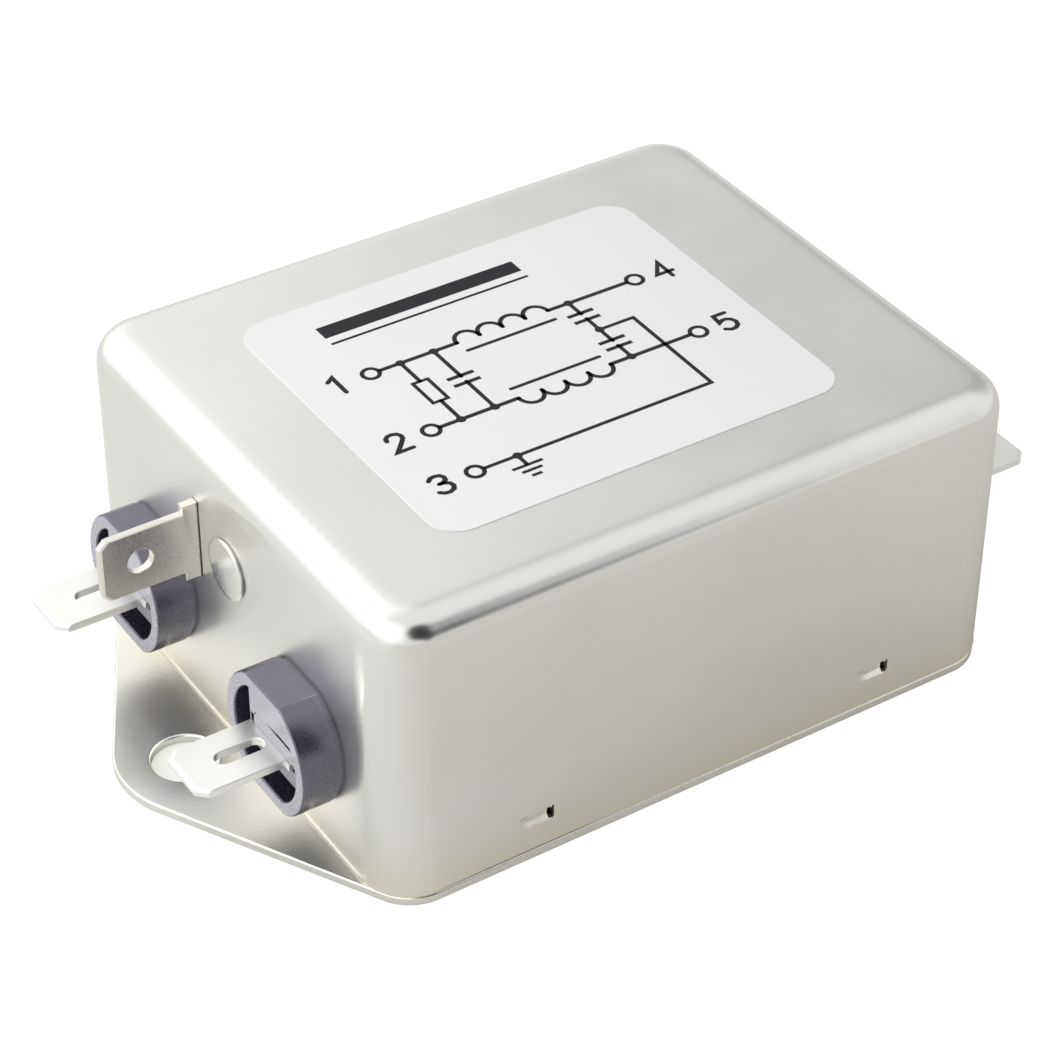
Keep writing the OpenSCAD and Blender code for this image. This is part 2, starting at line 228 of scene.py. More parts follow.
def film(name, light, dark):
    """Matt white printed film, with painted shade that darkens it towards +X."""
    m, t, p, co = start(name)
    cloud = t.noise(co, 0.08, 3.0, 0.55)
    tint = t.mix(t.ramp(cloud, 0.3, 0.7), rgba(light), rgba(dark))
    # painted shade: the film is coloured about 9 % darker from x = -20 to x = 20 mm, away from the bright light on the
    # left
    x = t.node("ShaderNodeSeparateXYZ")
    t.link(co, x.inputs[0])
    tint = t.mix(t.ramp(x.outputs[0], -20.0, 20.0, 0.0, 1.0, False), tint, rgba((light[0] * 0.91, light[1] * 0.915, light[2] * 0.92)))
    t.link(tint, p.inputs["Base Color"])
    fibre = t.noise(co, 7.0, 4.0, 0.6)
    t.link(t.ramp(fibre, 0.25, 0.75, 0.46, 0.58), p.inputs["Roughness"])
    p.inputs["Specular IOR Level"].default_value = 0.25
    bump(t, p, fibre, 0.35, 0.004 * MM)
    return m


def ink(name, light, dark):
    m, t, p, co = start(name)
    worn = t.noise(co, 3.4, 4.0, 0.65)
    t.link(t.mix(t.ramp(worn, 0.35, 0.75), rgba(dark), rgba(light)), p.inputs["Base Color"])
    t.link(t.ramp(worn, 0.3, 0.7, 0.42, 0.6), p.inputs["Roughness"])
    p.inputs["Specular IOR Level"].default_value = 0.25
    bump(t, p, worn, 0.3, 0.004 * MM)
    return m


def ceramic(name, light, dark, rough, scale, strength=0.02):
    """Lacquered or sintered parts inside."""
    m, t, p, co = start(name)
    a = t.noise(co, scale, 4.0, 0.6)
    t.link(t.mix(t.ramp(a, 0.3, 0.72), rgba(light), rgba(dark)), p.inputs["Base Color"])
    t.link(t.ramp(a, 0.2, 0.8, rough - 0.06, rough + 0.08), p.inputs["Roughness"])
    bump(t, p, a, 1.0, strength * MM)
    return m


def laminate(name):
    """Glass-fibre board under solder mask, with a faint weave."""
    m, t, p, co = start(name)
    w1 = t.node("ShaderNodeTexWave", wave_type="BANDS", bands_direction="X")
    w2 = t.node("ShaderNodeTexWave", wave_type="BANDS", bands_direction="Y")
    for w in (w1, w2):
        t.link(co, w.inputs["Vector"])
        w.inputs["Scale"].default_value = 1.1
        w.inputs["Distortion"].default_value = 0.4
    weave = t.math("MULTIPLY", w1.outputs["Fac"], w2.outputs["Fac"])
    cloud = t.noise(co, 0.2, 3.0, 0.5)
    tint = t.mix(t.ramp(cloud, 0.3, 0.7), rgba((0.06, 0.17, 0.05)), rgba((0.09, 0.22, 0.06)))
    t.link(t.mix(t.ramp(weave, 0.2, 0.9, 0.0, 0.35), tint, rgba((0.13, 0.28, 0.10))), p.inputs["Base Color"])
    t.link(t.ramp(weave, 0.0, 1.0, 0.34, 0.46), p.inputs["Roughness"])
    bump(t, p, weave, 0.6, 0.01 * MM)
    return m


def enamelled(name):
    m, t, p, co = start(name)
    a = t.noise(co, 0.9, 3.0, 0.55)
    t.link(t.mix(t.ramp(a, 0.3, 0.7), rgba((0.62, 0.20, 0.07)), rgba((0.42, 0.11, 0.04))), p.inputs["Base Color"])
    p.inputs["Metallic"].default_value = 0.85
    t.link(t.ramp(a, 0.2, 0.8, 0.2, 0.32), p.inputs["Roughness"])
    p.inputs["Coat Weight"].default_value = 0.6
    bump(t, p, a, 0.5, 0.01 * MM)
    return m


# the can's band from 9 mm down to 0.5 mm above the floor is painted shade, a painted reflection of the floor's shade
CAN_METAL = plated("can_metal", (0.845, 0.84, 0.82), (0.815, 0.81, 0.785), 0.33, grain=0.5, waves=0.7,
                   painted_base_shade=(0.5, 9.0, (0.84, 0.815, 0.70)), rolled=0.20, speck=0.05)
PLATE_METAL = plated("plate_metal", (0.88, 0.875, 0.845), (0.82, 0.805, 0.745), 0.30, grain=3.5, waves=0.5, rolled=0.22)
TAB_METAL = plated("tab_metal", (0.95, 0.945, 0.92), (0.93, 0.925, 0.895), 0.38, grain=0.5, waves=0.1, metallic=0.75, speck=0.04)
EARTH_METAL = plated("earth_metal", (0.84, 0.82, 0.765), (0.74, 0.715, 0.65), 0.26, grain=2.0, waves=0.3)
RIVET_METAL = plated("rivet_metal", (0.90, 0.895, 0.87), (0.85, 0.84, 0.80), 0.2, grain=0.6, waves=0.1)
# the bushings' outer front faces carry painted light: coloured 0.36 grey against the nearly black body
BUSHING = moulded("bushing_plastic", (0.030, 0.028, 0.042), (0.018, 0.017, 0.028), 0.24, 0.12, 2.5, (32.4 + 3.2, (0.36, 0.355, 0.39)))
FILM = film("label_film", (0.83, 0.83, 0.83), (0.815, 0.815, 0.815))
INK = ink("label_ink", (0.018, 0.018, 0.024), (0.008, 0.008, 0.012))
TRAY = moulded("tray_plastic", (0.72, 0.69, 0.60), (0.66, 0.63, 0.54), 0.5)
BOARD = laminate("board_laminate")
FERRITE = ceramic("ferrite", (0.055, 0.055, 0.06), (0.028, 0.028, 0.032), 0.62, 1.4, 0.05)
WIRE = enamelled("enamelled_wire")
CAP_BOX = moulded("capacitor_box", (0.72, 0.50, 0.10), (0.62, 0.42, 0.07), 0.38)
DISC = ceramic("disc_lacquer", (0.05, 0.16, 0.42), (0.03, 0.11, 0.33), 0.34, 0.8)
RESISTOR = ceramic("resistor_lacquer", (0.60, 0.45, 0.28), (0.50, 0.36, 0.21), 0.4, 0.9)
LEAD_BROWN = moulded("lead_brown", (0.20, 0.09, 0.04), (0.15, 0.065, 0.03), 0.4)
LEAD_BLUE = moulded("lead_blue", (0.05, 0.13, 0.35), (0.035, 0.10, 0.28), 0.4)
LEAD_EARTH = moulded("lead_earth", (0.40, 0.50, 0.06), (0.30, 0.42, 0.05), 0.4)

# ---------------------------------------------------------------- mesh helpers


def finish_piece(name, bm, material, nodes=(), angle=34.0, weighted=True):
    """Turns a bmesh in millimetres into a piece that rides on the root body."""
    bmesh.ops.remove_doubles(bm, verts=bm.verts, dist=1e-5)
    bmesh.ops.recalc_face_normals(bm, faces=bm.faces)
    bmesh.ops.scale(bm, vec=(MM, MM, MM), verts=bm.verts)
    me = bpy.data.meshes.new(name)
    bm.to_mesh(me)
    bm.free()
    ob = bpy.data.objects.new(name, me)
    bpy.context.scene.collection.objects.link(ob)
    dress(ob, material, nodes, angle, weighted)
    return ob


def dress(ob, material, nodes=(), angle=34.0, weighted=True):
    me = ob.data
    me.materials.clear()
    me.materials.append(material)
    me.polygons.foreach_set("use_smooth", [True] * len(me.polygons))
    me.set_sharp_from_angle(angle=math.radians(angle))
    if weighted:
        w = ob.modifiers.new("weighted_normals", "WEIGHTED_NORMAL")
        w.keep_sharp = True
        w.weight = 50
    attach(ob, "root")
    if nodes:
        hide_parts(*nodes)


def loft(bm, rings, cap_start=True, cap_end=True):
    """Joins rings of equal length into one skin."""
    made = [[bm.verts.new(p) for p in ring] for ring in rings]
    n = len(made[0])
    for a, b in zip(made, made[1:]):
        for i in range(n):
            j = (i + 1) % n
            bm.faces.new((a[i], a[j], b[j], b[i]))
    if cap_start:
        bm.faces.new(list(reversed(made[0])))
    if cap_end:
        bm.faces.new(made[-1])
    return made


def arc(cx, cy, r, a0, a1, n):
    return [(cx + r * math.cos(math.radians(a0 + (a1 - a0) * i / n)),
             cy + r * math.sin(math.radians(a0 + (a1 - a0) * i / n))) for i in range(n + 1)]


def circle(cx, cy, r, n=48):
    return [(cx + r * math.cos(2 * PI * i / n), cy + r * math.sin(2 * PI * i / n)) for i in range(n)]


def inset(pts, d):
    """Closed counter-clockwise loop moved inwards by d, or by d[i] along each edge i to i+1."""
    n = len(pts)
    ds = d if isinstance(d, (list, tuple)) else [d] * n
    out = []
    for i in range(n):
        p0, p1, p2 = Vector(pts[i - 1]), Vector(pts[i]), Vector(pts[(i + 1) % n])
        e0, e1 = (p1 - p0).normalized(), (p2 - p1).normalized()
        n0, n1 = Vector((-e0.y, e0.x)), Vector((-e1.y, e1.x))
        d0, d1 = ds[i - 1], ds[i]
        det = n0.x * n1.y - n0.y * n1.x
        if abs(det) < 1e-4:
            m = (n0 + n1).normalized()
            q = p1 + m * (d0 + d1) / 2
        else:
            c0, c1 = n0.dot(p1) + d0, n1.dot(p1) + d1
            q = Vector(((c0 * n1.y - c1 * n0.y) / det, (n0.x * c1 - n1.x * c0) / det))
        out.append((q.x, q.y))
    return out


def rounded_corners(pts, radii, n=5):
    """Polygon whose corners are rounded with the given radii (0 keeps a corner)."""
    out = []
    k = len(pts)
    for i in range(k):
        p0, p1, p2 = Vector(pts[i - 1]), Vector(pts[i]), Vector(pts[(i + 1) % k])
        r = radii[i] if isinstance(radii, (list, tuple)) else radii
        if r <= 0:
            out.append((p1.x, p1.y))
            continue
        a, b = (p0 - p1).normalized(), (p2 - p1).normalized()
        half = a.angle(b) / 2
        run = r / math.tan(half)
        s, e = p1 + a * run, p1 + b * run
        c = p1 + (a + b).normalized() * (r / math.sin(half))
        v0, v1 = s - c, e - c
        total = v0.angle(v1)
        sign = 1 if v0.x * v1.y - v0.y * v1.x > 0 else -1
        for j in range(n + 1):
            w = sign * total * j / n
            out.append((c.x + v0.x * math.cos(w) - v0.y * math.sin(w), c.y + v0.x * math.sin(w) + v0.y * math.cos(w)))
    return out


def bevel(b, n=3):
    """Rounded edge profile: (inset, drop) from the flat face to the side."""
    return [(b * (1 - math.sin(PI / 2 * i / n)), b * (1 - math.cos(PI / 2 * i / n))) for i in range(n + 1)]


def slab(bm, outer, holes, w0, w1, where, low=((0.0, 0.0),), high=((0.0, 0.0),), hole_low=None, hole_high=None):
    """Flat plate from loops, with its edges rounded by profiles. where maps (u, v, w) to a point."""
    hole_low = low if hole_low is None else hole_low
    hole_high = high if hole_high is None else hole_high

    def skin(loop, sign, lo, hi):
        rings = []
        for d, drop in hi:
            dd = [sign * x for x in d] if isinstance(d, (list, tuple)) else sign * d
            rings.append([bm.verts.new(where(u, v, w1 - drop)) for u, v in inset(loop, dd)])
        for d, drop in reversed(list(lo)):
            dd = [sign * x for x in d] if isinstance(d, (list, tuple)) else sign * d
            rings.append([bm.verts.new(where(u, v, w0 + drop)) for u, v in inset(loop, dd)])
        n = len(loop)
        for a, b in zip(rings, rings[1:]):
            for i in range(n):
                j = (i + 1) % n
                f = (a[i], b[i], b[j], a[j]) if sign > 0 else (a[j], b[j], b[i], a[i])
                bm.faces.new(f)
        return rings[0], rings[-1]

    tops, bottoms = [], []
    a, b = skin(outer, 1, low, high)
    tops.append(a)
    bottoms.append(b)
    for h in holes:
        a, b = skin(h, -1, hole_low, hole_high)
        tops.append(a)
        bottoms.append(b)
    for loops in (tops, bottoms):
        if len(loops) == 1:
            bm.faces.new(loops[0])
            continue
        edges = []
        for loop in loops:
            for i in range(len(loop)):
                edges.append(bm.edges.get((loop[i], loop[(i + 1) % len(loop)])))
        bmesh.ops.triangle_fill(bm, use_beauty=True, use_dissolve=False, edges=edges)


def block(bm, lo, hi, b, where=lambda x, y, z: (x, y, z)):
    """Box with rounded edges."""
    made = bmesh.ops.create_cube(bm, size=1.0)
    vs = made["verts"]
    for v in vs:
        v.co = Vector([lo[i] + (v.co[i] + 0.5) * (hi[i] - lo[i]) for i in range(3)])
    es = list({e for v in vs for e in v.link_edges})
    res = bmesh.ops.bevel(bm, geom=es + vs, offset=b, segments=2, profile=0.7, affect="EDGES")
    done = set(res["verts"]) | {v for f in res["faces"] for v in f.verts}
    todo = set()
    stack = list(done)
    while stack:
        v = stack.pop()
        if v in todo:
            continue
        todo.add(v)
        stack += [e.other_vert(v) for e in v.link_edges]
    for v in todo:
        v.co = Vector(where(*v.co))


def cut(ob, cutters):
    """Takes the cutters out of ob, with its mesh changed for good."""
    mods = []
    for c in cutters:
        m = ob.modifiers.new("cut", "BOOLEAN")
        m.operation = "DIFFERENCE"
        m.solver = "EXACT"
        m.object = c
        mods.append(m)
    bpy.context.view_layer.update()
    dg = bpy.context.evaluated_depsgraph_get()
    me = bpy.data.meshes.new_from_object(ob.evaluated_get(dg), depsgraph=dg)
    me.name = ob.name
    ob.modifiers.clear()
    ob.data = me
    for c in cutters:
        bpy.data.objects.remove(c)


def loose(bm):
    bmesh.ops.recalc_face_normals(bm, faces=bm.faces)
    bmesh.ops.scale(bm, vec=(MM, MM, MM), verts=bm.verts)
    me = bpy.data.meshes.new("cutter")
    bm.to_mesh(me)
    bm.free()
    ob = bpy.data.objects.new("cutter", me)
    bpy.context.scene.collection.objects.link(ob)
    return ob


# ---------------------------------------------------------------- sizes from the frame

can_lo, can_hi = corners("can")
plate_lo, plate_hi = corners("base_plate")
HX, HY, TOP = can_hi[0], can_hi[1], can_hi[2]
FLOOR = can_lo[2]
SHEET = 0.7
CORNER = 4.7
ROLL = 3.0
PLATE = FLOOR
EAR_X = plate_hi[0]
EAR_R = 9.0
HOLE_X = 37.6
HOLE_R = 3.0
tab_lo, tab_hi = corners("tab_line_n")
TAB_Z = (tab_lo[2] + tab_hi[2]) / 2
TAB_T = tab_hi[2] - tab_lo[2]
TAB_W = tab_hi[1] - tab_lo[1]
TAB_OUT = -tab_lo[0] - HX
PAIR = abs(tab_lo[1] + tab_hi[1]) / 2
BR, BF = 6.55, 5.9
et_lo, et_hi = corners("earth_tab")
rv_lo, rv_hi = corners("earth_rivet")
RIVET_Y, RIVET_Z = (rv_lo[1] + rv_hi[1]) / 2, (rv_lo[2] + rv_hi[2]) / 2
EB_Y, EB_Z, EB_ROOT = 4.6, (et_lo[2] + et_hi[2]) / 2, (et_hi[2] - et_lo[2]) / 2
lb_lo, lb_hi = corners("rating_label")


# ---------------------------------------------------------------- can


def round_rect(hx, hy, r, nc=16, mx=12, my=6):
    """Loop of (x, y, nx, ny), counter-clockwise, with the same count for every radius."""
    cx, cy = hx - r, hy - r
    out = []
    quads = [(1, 1, 0), (-1, 1, 90), (-1, -1, 180), (1, -1, 270)]
    for q, (sx, sy, a0) in enumerate(quads):
        for i in range(nc + 1):
            a = math.radians(a0 + 90 * i / nc)
            out.append((sx * cx + r * math.cos(a), sy * cy + r * math.sin(a), math.cos(a), math.sin(a)))
        m = mx if q in (0, 2) else my
        a = math.radians(a0 + 90)
        x0, y0 = sx * cx + r * math.cos(a), sy * cy + r * math.sin(a)
        nx_, ny_, _ = quads[(q + 1) % 4]
        x1, y1 = nx_ * cx + r * math.cos(a), ny_ * cy + r * math.sin(a)
        run = math.hypot(x1 - x0, y1 - y0)
        for w in [0.35 / run, 1.2 / run] + [i / m for i in range(1, m)] + [1 - 1.2 / run, 1 - 0.35 / run]:
            out.append((x0 + (x1 - x0) * w, y0 + (y1 - y0) * w, math.cos(a), math.sin(a)))
    return out


def step(a, b, x):
    t = min(1.0, max(0.0, (x - a) / (b - a)))
    return t * t * (3 - 2 * t)


def can_ring(d, z, foot=0.0, lift=False):
    """Ring of the can, d in from the outer face. foot is how far the two ends splay out."""
    pts = []
    for x, y, nx, ny in round_rect(HX - d, HY - d, CORNER - d):
        zz = z
        if lift and y < -HY + 3.0 and ny < -0.5:
            zz += 0.11 * step(-29.5, -25.5, x) * (1 - step(-14.0, -9.0, x))
        pts.append((x + math.copysign(foot * nx * nx, nx), y, zz))
    return pts


bm = bmesh.new()
rings = []
roll = 9
outer = [(0.0, 20.0, 0, 0), (0.0, 12.0, 0, 0), (0.0, 5.6, 0, 0), (0.0, 3.4, 0, 0), (0.0, 2.1, 0.0, 0), (0.0, 1.5, 0.0, 0),
         (0.0, 1.32, 0.03, 0), (0.0, 1.20, 0.08, 0), (0.0, 1.10, 0.13, 1)]
rings.append(can_ring(ROLL + 0.9, TOP))
for i in range(roll + 1):
    a = PI / 2 * (1 - i / roll)
    rings.append(can_ring(ROLL * (1 - math.cos(a)), TOP - ROLL + ROLL * math.sin(a)))
rings.append(can_ring(0.0, TOP - ROLL - 0.8))
for d, z, foot, lift in outer:
    rings.append(can_ring(d, z, foot, lift))
rings.append(can_ring(0.03, FLOOR + 0.09, 0.15, True))
rings.append(can_ring(0.12, FLOOR + 0.02, 0.15, True))
rings.append(can_ring(SHEET - 0.08, FLOOR + 0.02, 0.15, True))
rings.append(can_ring(SHEET, FLOOR + 0.10, 0.15, True))
rings.append(can_ring(SHEET, 1.5, 0.02))
rings.append(can_ring(SHEET, 2.1, 0.0))
rings.append(can_ring(SHEET, TOP - ROLL))
for i in range(1, 7):
    a = PI / 2 * i / 6
    rings.append(can_ring(SHEET + (ROLL - SHEET) * (1 - math.cos(a)), TOP - ROLL + (ROLL - SHEET) * math.sin(a)))
loft(bm, rings)
can = finish_piece("can_shell", bm, CAN_METAL, ("can",), weighted=False)


def dd(r, f, rho, na=22, nc=5):
    """Circle with two flats, its four corners rounded. Counter-clockwise (y, z)."""
    a = math.asin((f - rho) / (r - rho))
    ax = (r - rho) * math.cos(a)
    out = []
    for i in range(na + 1):
        w = -a + 2 * a * i / na
        out.append((r * math.cos(w), r * math.sin(w)))
    for i in range(1, nc + 1):
        w = a + (PI / 2 - a) * i / nc
        out.append((ax + rho * math.cos(w), f - rho + rho * math.sin(w)))
    for i in range(nc):
        w = PI / 2 + (PI / 2 - a) * i / nc
        out.append((-ax + rho * math.cos(w), f - rho + rho * math.sin(w)))
    for i in range(na + 1):
        w = PI - a + 2 * a * i / na
        out.append((r * math.cos(w), r * math.sin(w)))
    for i in range(1, nc + 1):
        w = PI + a + (PI / 2 - a) * i / nc
        out.append((-ax + rho * math.cos(w), -f + rho + rho * math.sin(w)))
    for i in range(nc):
        w = -PI / 2 + (PI / 2 - a) * i / nc
        out.append((ax + rho * math.cos(w), -f + rho + rho * math.sin(w)))
    return out


def at_end(sx, cy):
    """Maps a feed-through's own frame, pointing outwards, to its place at one end."""
    if sx > 0:
        return lambda x, y, z: (HX + x, cy + y, TAB_Z + z)
    return lambda x, y, z: (-HX - x, cy - y, TAB_Z + z)


cutters = []
for sx in (-1, 1):
    for cy in (-PAIR, PAIR):
        c = bmesh.new()
        w = at_end(sx, cy)
        loft(c, [[w(x, y, z) for y, z in dd(BR - 0.93, BF - 0.88, 0.35)] for x in (-3.0, 2.0)])
        cutters.append(loose(c))
c = bmesh.new()
block(c, (-HX - 1, EB_Y - 0.20, EB_Z - EB_ROOT - 0.07), (-HX + 1.5, EB_Y + 0.87, EB_Z + EB_ROOT + 0.07), 0.05)
cutters.append(loose(c))
c = bmesh.new()
loft(c, [[(x, RIVET_Y + y, RIVET_Z + z) for y, z in circle(0, 0, 1.65, 40)] for x in (-HX - 1, -HX + 1.5)])
cutters.append(loose(c))
# locks pressed into the long sides: a shallow ramp that ends in a sheared gap
for sx in (-1, 1):
    for sy in (-1, 1):
        cx = sx * 17.9
        c = bmesh.new()
        z0, z1 = 3.80, 5.10
        sec = []
        for x, depth in ((-1.72, 0.04), (-1.45, 0.20), (0.2, 0.34), (1.4, 0.46)):
            y = HY - depth
            sec.append([(cx + x, sy * (HY + 0.6), z1 + 0.12), (cx + x, sy * (HY + 0.0), z1 + 0.06), (cx + x, sy * y, z1 - 0.22),
                        (cx + x, sy * y, z0 + 0.34), (cx + x, sy * HY, z0 - 0.04), (cx + x, sy * (HY + 0.6), z0 - 0.10)])
        loft(c, sec)
        cutters.append(loose(c))
        c = bmesh.new()
        loft(c, [[(cx + 1.22, y, z0 + 0.02), (cx + 1.62, y, z0 + 0.02), (cx + 1.74, y, z0 + 0.2), (cx + 1.74, y, z1 + 0.05), (cx + 1.60, y, z1 + 0.16),
                  (cx + 1.32, y, z1 - 0.26)]
                 for y in (sy * (HY - 1.2), sy * (HY + 0.5))])
        cutters.append(loose(c))
cut(can, cutters)
dress(can, CAN_METAL, ("can",), angle=30.0)

# ---------------------------------------------------------------- base plate

b_ear = 90 - 61.4
ca, sa = math.cos(math.radians(b_ear)), math.sin(math.radians(b_ear))
ear_cx = EAR_X - EAR_R
kx, ky = HX - CORNER, HY - CORNER
near = ear_cx * ca + EAR_R - (kx * ca + ky * sa)


def quarter():
    """Outline of the plate from the ear's tip round to the long side, first quadrant."""
    pts = arc(ear_cx, 0, EAR_R, 0, b_ear, 10)
    p0 = Vector(pts[-1])
    n = 18
    first = (kx + near * ca, ky + near * sa)
    for i in range(1, 4):
        pts.append(tuple(p0 + (Vector(first) - p0) * i / 4))
    for i in range(n + 1):
        a = b_ear + (90 - b_ear) * i / n
        r = near + (CORNER - near) * step(0, 1, i / n)
        pts.append((kx + r * math.cos(math.radians(a)), ky + r * math.sin(math.radians(a))))
    return pts


q = quarter()
side = [(kx - 2 * kx * i / 8, HY) for i in range(1, 8)]
upper = q + side + [(-x, y) for x, y in reversed(q)]
lower = [(x, -y) for x, y in reversed(upper)][1:-1]
outline = upper + lower

bm = bmesh.new()
slab(bm, outline, [circle(sx * HOLE_X, 0, HOLE_R, 56) for sx in (-1, 1)], 0.0, PLATE, lambda u, v, w: (u, v, w),
     low=bevel(0.12, 2), high=bevel(0.24, 4), hole_low=bevel(0.12, 2), hole_high=bevel(0.30, 4))
lip_y = HY - SHEET
for sy in (-1, 1):
    w_lock = [[(sx * 17.9 - 1.95, 3.5), (sx * 17.9 + 1.95, 3.5), (sx * 17.9 + 1.95, 5.4), (sx * 17.9 - 1.95, 5.4)] for sx in (-1, 1)]
    slab(bm, [(-27.4, 0.7), (27.4, 0.7), (27.4, 6.95), (-27.4, 6.95)], w_lock, lip_y - 0.8, lip_y,
         lambda u, v, w, sy=sy: (u, sy * w, v), low=bevel(0.08, 1), high=bevel(0.08, 1))
finish_piece("base_plate_body", bm, PLATE_METAL, ("base_plate",), angle=36.0)

# ---------------------------------------------------------------- feed-throughs


def bushing(name, node, sx, cy):
    w = at_end(sx, cy)
    bm = bmesh.new()
    prof = [(-2.6, 2.0, 2.6), (-1.8, 2.0, 2.6), (-1.8, 0.3, 0.3), (-0.72, 0.3, 0.3), (-0.72, 0.98, 0.93), (0.0, 0.98, 0.93),
            (0.0, 0.26, 0.26), (0.24, 0.26, 0.26), (0.29, 0.16, 0.16), (0.34, 0.04, 0.04), (0.44, 0.0, 0.0), (3.60, 0.0, 0.0),
            (3.72, 0.03, 0.03), (3.80, 0.09, 0.09), (3.84, 0.17, 0.17), (3.85, 0.27, 0.27), (3.85, 1.16, 1.20), (3.82, 1.25, 1.30),
            (3.75, 1.32, 1.37), (3.61, 1.35, 1.40), (1.2, 1.42, 1.47)]
    rings = []
    for x, ri, fi in prof:
        rho = max(0.10, 0.42 - 0.25 * min(ri, 1.3))
        if ri > 1.3:
            rho = 0.5
        rings.append([w(x, y, z) for y, z in dd(BR - ri, BF - fi, rho)])
    loft(bm, rings)
    # holder of the tab: lower half, web beside the tab, backing behind the slits
    block(bm, (1.0, -2.8, -2.1), (3.3, 4.62, -0.42), 0.07, w)
    block(bm, (1.0, 3.2, -0.9), (3.15, 4.75, 0.9), 0.05, w)
    block(bm, (1.0, -2.75, 0.3), (1.9, 4.3, 4.6), 0.05, w)
    # upper half, open along the lower slit
    comb = [(-2.45, 0.42), (4.55, 0.42), (4.62, 1.72), (-0.36, 1.92), (-0.42, 2.05), (-0.36, 2.17), (4.45, 1.99), (4.20, 2.60),
            (-1.66, 2.10), (-2.45, 2.10)]
    slab(bm, comb, [], 1.2, 3.42, lambda u, v, t: w(t, u, v), low=bevel(0.04, 1), high=bevel(0.045, 2))
    # band between the upper slit and the rim
    band = [(-2.45, 2.02), (-1.72, 2.02), (-1.66, 2.36), (4.10, 2.86), (4.22, 3.3), (3.9, 3.7), (3.45, 4.1), (2.95, 4.62), (-2.45, 4.62)]
    slab(bm, band, [], 1.2, 3.76, lambda u, v, t: w(t, u, v), low=bevel(0.04, 1), high=bevel(0.06, 2))
    # thin rib that stands beside the holder in the pocket
    block(bm, (1.0, -3.02, 0.42), (3.45, -2.84, 4.62), 0.05, w)
    finish_piece(name, bm, BUSHING, (node,), angle=38.0)


def tab(name, node, sx, cy):
    w = at_end(sx, cy)
    bm = bmesh.new()
    h = TAB_W / 2
    lug = 6.3
    out = TAB_OUT
    o = [(-lug, -h + 1), (-lug + 1, -h), (out - 0.9, -h), (out, -h + 0.9), (out, h - 0.9), (out - 0.9, h), (-lug + 1, h), (-lug, h - 1)]
    big = [0.07, 0.08, 0.36, 0.38, 0.36, 0.08, 0.07, 0.07]
    mid = [0.02, 0.025, 0.14, 0.15, 0.14, 0.025, 0.02, 0.02]
    prof = [(big, 0.0), (mid, 0.075), ([0.0] * 8, 0.18)]
    slot_r, x0, x1 = 0.8, 3.9, 8.5
    hole = arc(x1 - slot_r, 0, slot_r, -90, 90, 14) + arc(x0 + slot_r, 0, slot_r, 90, 270, 14)
    slab(bm, o, [hole], -TAB_T / 2, TAB_T / 2, lambda u, v, t: w(u, v, t), low=prof, high=prof,
         hole_low=bevel(0.08, 2), hole_high=bevel(0.10, 3))
    # small locking shoulder that shows beside the holder
    block(bm, (2.9, 3.05, -0.34), (3.62, 3.82, 0.34), 0.12, w)
    finish_piece(name, bm, TAB_METAL, (node,), angle=14.0)


for end, sx in (("line", -1), ("load", 1)):
    for pole, sy in (("l", 1), ("n", -1)):
        bushing(f"feed_through_{end}_{pole}", f"bushing_{end}_{pole}", sx, sy * PAIR)
        tab(f"quick_connect_{end}_{pole}", f"tab_{end}_{pole}", sx, sy * PAIR)

# ---------------------------------------------------------------- earth tab and rivet

tip = et_lo[0]
ez, er, eh, ey0 = EB_Z, EB_ROOT, TAB_W / 2, EB_Y
sh = -HX - 1.5
blade = [(tip, ez - eh + 0.7), (tip + 0.7, ez - eh), (sh, ez - eh), (sh, ez - er), (-HX + 1.6, ez - er), (-HX + 1.6, ez + er), (sh, ez + er),
         (sh, ez + eh), (tip + 0.7, ez + eh), (tip, ez + eh - 0.7)]
bm = bmesh.new()
big = [0.26, 0.07, 0.05, 0.05, 0.02, 0.05, 0.05, 0.07, 0.26, 0.28]
mid = [0.10, 0.022, 0.015, 0.015, 0.01, 0.015, 0.015, 0.022, 0.10, 0.11]
prof = [(big, 0.0), (mid, 0.06), ([0.0] * 10, 0.14)]
slab(bm, blade, [circle(tip + 3.8, ez, 1.2, 40)], ey0, ey0 + 0.8, lambda u, v, t: (u, t, v), low=prof, high=prof,
     hole_low=bevel(0.09, 3), hole_high=bevel(0.09, 3))
# foot turned along the inside of the end wall
foot = [(ey0 + 0.8, ez - er), (ey0 + 0.8, ez + er), (RIVET_Y - 3.4, ez + er), (RIVET_Y - 3.4, ez - er)]
foot = [(y, z) for y, z in reversed(foot)]
slab(bm, foot, [circle(RIVET_Y, RIVET_Z, 1.62, 36)], -HX + 0.7, -HX + 1.5, lambda u, v, t: (t, u, v), low=bevel(0.08, 1), high=bevel(0.08, 1))
finish_piece("earth_blade", bm, EARTH_METAL, ("earth_tab",), angle=14.0)

bm = bmesh.new()
prof = [(0.0, -2.2), (2.1, -2.2), (2.45, -1.95), (2.6, -1.55), (2.6, -1.5), (1.6, -1.5), (1.6, 0.0), (2.62, 0.0), (2.64, 0.07), (2.84, 0.11), (2.89, 0.15), (2.90, 0.20),
        (2.88, 0.28), (2.80, 0.35), (2.68, 0.385), (2.45, 0.395), (0.9, 0.402), (0.0, 0.404)]
rings = []
for r, x in prof:
    rings.append([(-HX - x, RIVET_Y + max(r, 0.001) * math.cos(2 * PI * i / 56), RIVET_Z + max(r, 0.001) * math.sin(2 * PI * i / 56)) for i in range(56)])
loft(bm, rings)
finish_piece("rivet_head", bm, RIVET_METAL, ("earth_rivet",), angle=40.0)

# ---------------------------------------------------------------- label and its plain diagram

